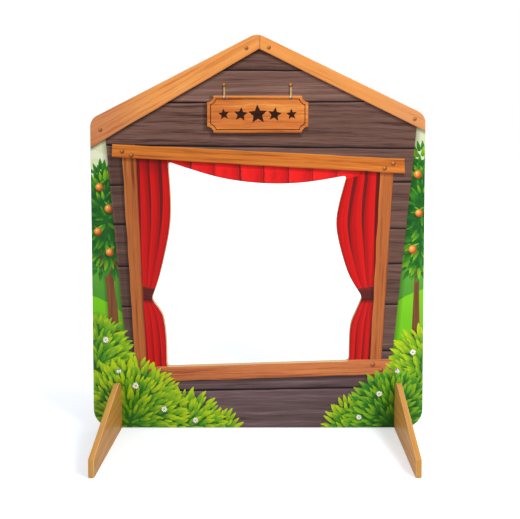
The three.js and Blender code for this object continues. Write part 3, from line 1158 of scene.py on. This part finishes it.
def printDrape(side):
    drape, plan = drapes[side], curtainPrint
    low = plan["sillLevel"] - plan["underSill"]
    high = plan["railLevel"] - plan["railFall"] * drape["stile"][1][0] + plan["underRail"]
    top = plan["railLevel"] + plan["shadeTop"]
    rows, columns = round((high - low) / plan["rowHeight"]), plan["columns"]

    def cutAt(z):
        start, end = drape["cut"]
        return drape["inner"](crossings(min(max(z, start), end) * mm, 1)) / mm

    def spot(p):
        x, z = p.x / mm, p.y / mm
        stile = lineAt(drape["stile"], z)
        return (x - stile) / (cutAt(z) - stile), (top - z) / (top - plan["sillLevel"]), drape["number"]

    def corner(i, j):
        z = low + (high - low) * j / rows
        stile = lineAt(drape["stile"], z)
        share = i / columns * plan["columnReach"] + plan["columnStart"]
        return flatPoint(stile + (cutAt(z) - stile) * share, z)

    for j in range(rows):
        for i in range(columns):
            cell = [corner(i, j), corner(i + 1, j), corner(i + 1, j + 1), corner(i, j + 1)]
            addShape("drape", cell, spot)

    stileX, cutX = lineAt(drape["stile"], plan["tieLevels"][0]), cutAt(plan["tieLevels"][1])
    way = math.copysign(1, cutX - stileX)
    back, lowEnd, highEnd = plan["tieEnds"]
    start = stileX - back * way
    tie = flatLoop([(start, plan["tieAtStile"][0]), (cutX + lowEnd * way, plan["tieAtCut"][0]),
                    (cutX + highEnd * way, plan["tieAtCut"][1]), (start, plan["tieAtStile"][1])])
    if way < 0:
        tie = [tie[1], tie[0], tie[3], tie[2]]
    addShade(tie, "tie")
    addSlat("tie", tie, drape["number"], plan["tieSeed"] + round(drape["number"]))


def printValance():
    plan = valancePrint
    left, right, reach = plan["left"], plan["right"], plan["hemReach"]

    def rail(x):
        return curtainPrint["railLevel"] - curtainPrint["railFall"] * x

    def hem(x):
        inside = min(max(x, -reach), reach)
        rise = plan["riseLeft"] if x < 0 else plan["riseRight"]
        return max(crossings(inside * mm, 0)) / mm + abs(x - inside) * rise

    def spot(p):
        x, z = p.x / mm, p.y / mm
        top = rail(x) + plan["shadeTop"]
        return (x - left) / (right - left), (top - z) / (top - hem(x) - plan["shadeBottom"]), plan["number"]

    def corner(x, share):
        full = rail(x) - hem(x)
        return flatPoint(x, hem(x) + (min(full * share, full + plan["above"]) if share else -plan["tuck"]))

    ends = [left + (right - left) * i / plan["cells"] for i in range(plan["cells"] + 1)]
    rim = [(x, hem(x)) for x in ends] + [(x, rail(x) + plan["above"]) for x in (right, left)]
    addShade(flatLoop(rim), "valance")
    for a, b in zip(ends, ends[1:]):
        for low, high in zip(plan["shares"], plan["shares"][1:]):
            addShape("valance", [corner(a, low), corner(b, low), corner(b, high), corner(a, high)], spot)


# The timber surround of the window

framePrint = {
    "boards": [("leftStile", "stile"), ("rightStile", "stile"), ("rail", "surround"), ("sill", "sill")],
    "rail": [(-458, 867), (462, 815), (460, 861), (-456, 907)],
    "sill": [(-432, 148), (434, 177), (434, 225), (-432, 197)],
    "leftStile": [(-352, 150), (-384, 905), (-427, 905), (-388, 150)],
    "rightStile": [(390, 165), (428, 850), (386, 850), (354, 165)],
    "pegs": [(-424, 885), (-396, 873), (426, 847), (399, 832), (-388, 182), (-364, 163), (366, 207),
             (392, 190)],
    "pegSize": 13, "pegSeed": 310, "firstGrain": 0.6, "grainStep": 2, "seed": 30,
}


def printFrame():
    for i, (name, kind) in enumerate(framePrint["boards"]):
        points = flatLoop(framePrint[name])
        addShade(points, "frame")
        addSlat(kind, points, i * framePrint["grainStep"] + framePrint["firstGrain"], framePrint["seed"] + i)
    addPegs(framePrint["pegs"], framePrint["pegSize"], framePrint["pegSeed"])


# Bargeboards along the roof, the left one lapped over the right one

roofPrint = {
    "left": [(-560, 876), (4, 1203), (4, 1275), (-560, 988)],
    "right": [(-6, 1209), (560, 931), (560, 1000), (-6, 1275)],
    "leftGrain": 1.4, "leftSeed": 22, "rightGrain": 3.2, "rightSeed": 21,
    "pegs": [(-34, 1206), (36, 1208), (-492, 952), (492, 986)], "pegSize": 11, "pegSeed": 300,
}


def printRoof():
    left, right = flatLoop(roofPrint["left"]), flatLoop(roofPrint["right"])
    for board in (left, right):
        addShade(board, "roof")
    addSlat("gable", right, roofPrint["rightGrain"], roofPrint["rightSeed"])
    addShade(left, "roofLap")
    addSlat("gable", left, roofPrint["leftGrain"], roofPrint["leftSeed"])
    addPegs(roofPrint["pegs"], roofPrint["pegSize"], roofPrint["pegSeed"])


# Bushes and daisies in front of the hut

bushPrint = {
    "leaf": {"oval": "bushLeaf", "length": 33, "step": 14, "lift": 15, "tones": ((0.35, 1.1), (-0.5, 0.4))},
    "span": (-0.35, math.pi + 0.35),  # from which angle to which a bush has leaves
    "rimBumps": (9, 0.03), "innerBumps": (11, 0.02, 60), "innerShare": 0.97,
    "bushes": [
        ((-510, 170, 100, 175), 71, ("leafMiddle", "leafBright", "leafMiddle")),
        ((-146, -22, 74, 66), 72, ("leafBright", "leafBright", "leafMiddle")),
        ((-255, -6, 130, 108), 77, ("leafBright", "leafMiddle", "leafBright")),
        ((-410, 10, 165, 190), 73, ("leafBright", "leafBright", "leafMiddle")),
        ((525, 110, 100, 190), 74, ("leafBright", "leafBright", "leafMiddle")),
        ((316, -14, 92, 92), 76, ("leafBright", "leafBright", "leafMiddle")),
        ((430, 8, 130, 158), 75, ("leafMiddle", "leafDark", "leafMiddle")),
    ],
    "flowers": [(-484, 286, 20), (-390, 138, 22), (-300, 62, 20), (-200, 26, 18), (492, 246, 20),
                (386, 112, 20), (322, 36, 18)],
    "petals": 9, "petalTones": (0.4, 1.0), "flowerSeed": 80,
    "petalLength": 0.5, "buttonSize": 0.26,  # shares of a flower's size
}


def addBush(outline, seed, kinds):
    x, z, *halves = outline
    leaf = bushPrint["leaf"]
    inner = [half * bushPrint["innerShare"] for half in halves]
    addShade(blob(*outline, *bushPrint["rimBumps"]), "bush")
    addShape("thicket", blob(x, z, *inner, *bushPrint["innerBumps"]))
    addLeaves(canopyRows(outline, leaf, seed, *bushPrint["span"]), kinds, leaf, seed)


def addFlower(x, z, size, seed):
    count, button = bushPrint["petals"], size * bushPrint["buttonSize"]
    petals = [(x, z, 2 * math.pi * i / count + seed, 1.0) for i in range(count)]
    addShade(blob(x, z, size / 2, size / 2), "flower")
    scatter("daisy", petals, seed, size * bushPrint["petalLength"], "petal", bushPrint["petalTones"])
    scatter("button", [(x - button / 2, z, 0.0, 1.0)], seed, button, "button")


def printBushes():
    for bush in bushPrint["bushes"]:
        addBush(*bush)
    for i, (x, z, size) in enumerate(bushPrint["flowers"]):
        addFlower(x, z, size, bushPrint["flowerSeed"] + i)


printGarden()
printWall()
printSign()
for side in drapes:
    printDrape(side)
printValance()
printFrame()
printRoof()
printBushes()
print("print laid out:", len(shapes), "shapes")


# The theatre board

creaseAngle = {"board": math.radians(35), "turned": math.radians(38)}
theatreBoard = buildBoard(
    "theatre_board", panelLoops, panelHigh.y - panelLow.y, lambda x, z, depth: (x, panelLow.y + depth, z),
    {"face": boardBack, "edge": boardEdge, **printKinds}, shapes)
theatreBoard.data.set_sharp_from_angle(angle=creaseAngle["board"])
settle(theatreBoard, "theatre_panel")


# Turned parts and the tools that cut into them

def turned(name, rings, sides, material):
    # Rings round Y are (along, radius) or (along, function of the angle) pairs. Both ends are closed.
    body = bmesh.new()
    last = None
    for along, radius in rings:
        fresh = []
        for i in range(sides):
            a = 2 * math.pi * i / sides
            r = radius(a) if callable(radius) else radius
            fresh.append(body.verts.new((r * math.cos(a), along, r * math.sin(a))))
        if last is None:
            body.faces.new(fresh[::-1])
        else:
            for i in range(sides):
                j = (i + 1) % sides
                body.faces.new((last[i], last[j], fresh[j], fresh[i]))
        last = fresh
    body.faces.new(last)
    bmesh.ops.recalc_face_normals(body, faces=body.faces)
    for face in body.faces:
        face.smooth = len(face.verts) == 4
    piece = newPiece(name, body, [material])
    piece.data.set_sharp_from_angle(angle=creaseAngle["turned"])
    return piece


def block(name, low, high, material):
    body = bmesh.new()
    bmesh.ops.create_cube(body, size=1.0)
    for vertex in body.verts:
        vertex.co = [b if c > 0 else a for a, b, c in zip(low, high, vertex.co)]
    return newPiece(name, body, [material])


def moveMesh(piece, turn, shift):
    piece.data.transform(Matrix.Translation(shift) @ Matrix.Rotation(turn, 4, "Z"))


def carve(piece, cutter):
    # Takes the cutter's form out of the piece, and leaves a plain mesh.
    modifier = piece.modifiers.new("carve", "BOOLEAN")
    modifier.object = cutter
    modifier.solver = "EXACT"
    mesh = bpy.data.meshes.new_from_object(piece.evaluated_get(bpy.context.evaluated_depsgraph_get()))
    piece.modifiers.clear()
    old = piece.data
    piece.data = mesh
    bpy.data.meshes.remove(old)
    bpy.data.objects.remove(cutter)


# The feet

footBore = {"radius": 3.3 * mm, "start": -20 * mm, "end": 52 * mm, "height": 185 * mm, "sides": 40}


def buildFoot(side):
    node = side + "_foot"
    low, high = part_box(node)
    loops = outlineLoops(node, (1, 2), 0, high.x - boardEase["radius"])
    foot = buildBoard(
        side + "_foot_board", [smoothLoop(loop, **footCurves) for loop in loops], high.x - low.x,
        lambda y, z, depth: (high.x - depth, y, z), footFinish[side])
    bore = turned("bore", [(footBore[end], footBore["radius"]) for end in ("start", "end")],
                  footBore["sides"], footFinish[side]["edge"])
    moveMesh(bore, 0.0, ((low.x + high.x) / 2, 0.0, footBore["height"]))
    carve(foot, bore)
    foot.data.set_sharp_from_angle(angle=creaseAngle["board"])
    settle(foot, node)


# The bolts and their barrel nuts

boltShape = {
    "headRadius": 7.5 * mm, "headHeight": 2.4 * mm, "socketFlats": 4 * mm, "socketDepth": 1.8 * mm,
    "socketLip": 0.12 * mm, "socketFlare": 0.15 * mm, "socketTaper": 0.98, "faceStart": 1.45,
    "drillTip": 0.35 * mm, "drillRadius": 0.25 * mm,
    "headProfile": ((0.5, 0.955), (0.66, 0.88), (0.8, 0.77), (0.9, 0.64), (0.965, 0.48), (0.995, 0.33),
                    (1, 0.18), (0.985, 0.06), (0.95, 0.0)),  # shares of its radius and of its height
    "shankRadius": 2.95 * mm, "fillet": 0.3 * mm, "rootRadius": 2.5 * mm, "length": 55 * mm, "plain": 22 * mm,
    "pitch": 1.0 * mm, "ringsPerTurn": 4, "endBevel": (0.4 * mm, 0.5 * mm), "sides": 48,
}
nutShape = {
    "radius": 5 * mm, "length": 14 * mm, "edge": 0.6 * mm, "slotWidth": 1.2 * mm, "slotDepth": 1.5 * mm,
    "bore": 3.1 * mm, "sides": 48, "cutterReach": 20 * mm, "slotReach": 1.2,
}


def buildBolt(side):
    shape = boltShape
    head, flats = shape["headHeight"], shape["socketFlats"] / 2
    shank, root = shape["shankRadius"], shape["rootRadius"]
    floor = shape["socketDepth"] - head

    def socket(a):
        return flats / math.cos((a % (math.pi / 3)) - math.pi / 6)

    rings = [(floor + shape["drillTip"], shape["drillRadius"]),
             (floor, lambda a: socket(a) * shape["socketTaper"]), (shape["socketLip"] - head, socket),
             (-head, lambda a: socket(a) + shape["socketFlare"]), (-head, flats * shape["faceStart"])]
    rings += [(-head * rise, shape["headRadius"] * share) for share, rise in shape["headProfile"]]
    rings += [(0.0, shank + shape["fillet"]), (shape["fillet"], shank), (shape["plain"], shank)]
    y = shape["plain"] + shape["pitch"]
    while y < shape["length"] - shape["pitch"]:
        def threaded(a, y=y):
            wave = abs(((y / shape["pitch"] - a / (2 * math.pi)) % 1.0) - 0.5) * 2
            return root + (shank - root) * wave
        rings.append((y, threaded))
        y += shape["pitch"] / shape["ringsPerTurn"]
    along, inwards = shape["endBevel"]
    rings += [(shape["length"] - along, root), (shape["length"], root - inwards)]
    bolt = turned(side + "_bolt", rings, shape["sides"], nickel)
    low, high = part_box(side + "_connector_bolt")
    middle = (low + high) / 2
    moveMesh(bolt, 0.0, (middle.x, low.y + head, middle.z))
    settle(bolt, side + "_connector_bolt")


def buildNut(side, turn):
    shape = nutShape
    half, radius, edge, reach = shape["length"] / 2, shape["radius"], shape["edge"], shape["cutterReach"]
    rings = [(-half, radius - edge), (edge - half, radius), (half - edge, radius), (half, radius - edge)]
    nut = turned(side + "_nut", rings, shape["sides"], zinc)
    bore = turned("nutBore", [(-reach, shape["bore"]), (reach, shape["bore"])], shape["sides"], zinc)
    moveMesh(bore, math.pi / 2, (0, 0, 0))
    carve(nut, bore)
    wide, high = radius * shape["slotReach"], shape["slotWidth"] / 2
    carve(nut, block("nutSlot", (-wide, -half - reach, -high), (wide, shape["slotDepth"] - half, high), zinc))
    low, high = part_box(side + "_barrel_nut")
    moveMesh(nut, turn, (low + high) / 2)
    nut.data.set_sharp_from_angle(angle=creaseAngle["turned"])
    settle(nut, side + "_barrel_nut")


for side, turn in (("left", math.pi / 2), ("right", -math.pi / 2)):
    buildFoot(side)
    buildBolt(side)
    buildNut(side, turn)
print("feet, bolts and nuts built")


# Floor, lamp and camera

stagePlan = {
    "floorSize": 60.0, "floorColour": "e3ebf8", "worldLight": 0.68,
    "whiten": (0.44, 1.0), "whitenReach": (0.75, 1.7),  # beside the stand and away from it, and how far away
    "behindCamera": 0.16, "fade": (-0.95, -0.35),  # how bright reflections see the dark side, and where
    "softboxPlace": (1.32, -1.35, 1.85), "softboxAim": (0, 0, 0.5), "softboxSize": 0.7, "softboxPower": 31,
}
cameraPlan = {  # its place is in millimetres, its pitch in degrees down
    "place": (56.5, -1798.5, 879.7), "pitch": 2.323, "sensor": 36, "lens": 39.51, "shift": (-0.0304, -0.1606),
}


def buildFloor():
    half = stagePlan["floorSize"] / 2
    mesh = bpy.data.meshes.new("studio_floor")
    corners = [(-half, -half, 0), (half, -half, 0), (half, half, 0), (-half, half, 0)]
    mesh.from_pydata(corners, [], [(0, 1, 2, 3)])
    material, tree, shader = newMaterial("studioFloor")
    path = place(tree, "ShaderNodeLightPath").outputs
    seen = calc("MAXIMUM", calc("MAXIMUM", path["Is Camera Ray"], path["Is Glossy Ray"]),
                path["Is Transmission Ray"])
    away = vectorCalc("LENGTH", objectPlace(tree))
    glow = span(away, *stagePlan["whitenReach"], *stagePlan["whiten"])
    feed(shader, {
        "Base Color": ink(stagePlan["floorColour"]), "Roughness": 0.9, "Specular IOR Level": 0.0,
        "Emission Color": (1, 1, 1, 1), "Emission Strength": product(seen, glow)})
    mesh.materials.append(material)
    floor = newObject("studio_floor", mesh)


def buildSoftbox():
    # One lamp near the stand, high on the spectator's right, that casts the feet's soft shadows.
    lamp = bpy.data.lights.new("softbox", "AREA")
    lamp.size = stagePlan["softboxSize"]
    lamp.energy = stagePlan["softboxPower"]
    holder = newObject("softbox", lamp)
    holder.location = stagePlan["softboxPlace"]
    way = Vector(stagePlan["softboxAim"]) - holder.location
    holder.rotation_euler = way.to_track_quat("-Z", "Y").to_euler()
    holder.visible_camera = False


def buildWorld():
    # White where the camera sees it, softer as light, and darker in reflections behind the camera.
    world = bpy.data.worlds.new("studio")
    world.use_nodes = True
    tree = world.node_tree
    path = place(tree, "ShaderNodeLightPath").outputs
    way = split(place(tree, "ShaderNodeTexCoord").outputs["Generated"])[1]
    mirrored = span(way, *stagePlan["fade"], stagePlan["behindCamera"], 1.0)
    seen = calc("MAXIMUM", path["Is Camera Ray"], path["Is Transmission Ray"])
    level = span(path["Is Glossy Ray"], 0.0, 1.0, stagePlan["worldLight"], mirrored, smooth=False)
    level = span(seen, 0.0, 1.0, level, 1.0, smooth=False)
    feed(tree.nodes["Background"], {"Color": (1, 1, 1, 1), "Strength": level})
    scene.world = world


def buildCamera():
    camera = bpy.data.cameras.new("camera")
    camera.sensor_width = cameraPlan["sensor"]
    camera.lens = cameraPlan["lens"]
    camera.shift_x, camera.shift_y = cameraPlan["shift"]
    holder = newObject("camera", camera)
    holder.location = Vector(cameraPlan["place"]) * mm
    holder.rotation_euler = (math.radians(90 - cameraPlan["pitch"]), 0, 0)
    scene.camera = holder


buildFloor()
buildSoftbox()
buildWorld()
buildCamera()
scene.view_settings.view_transform = "Standard"
print("stage set")
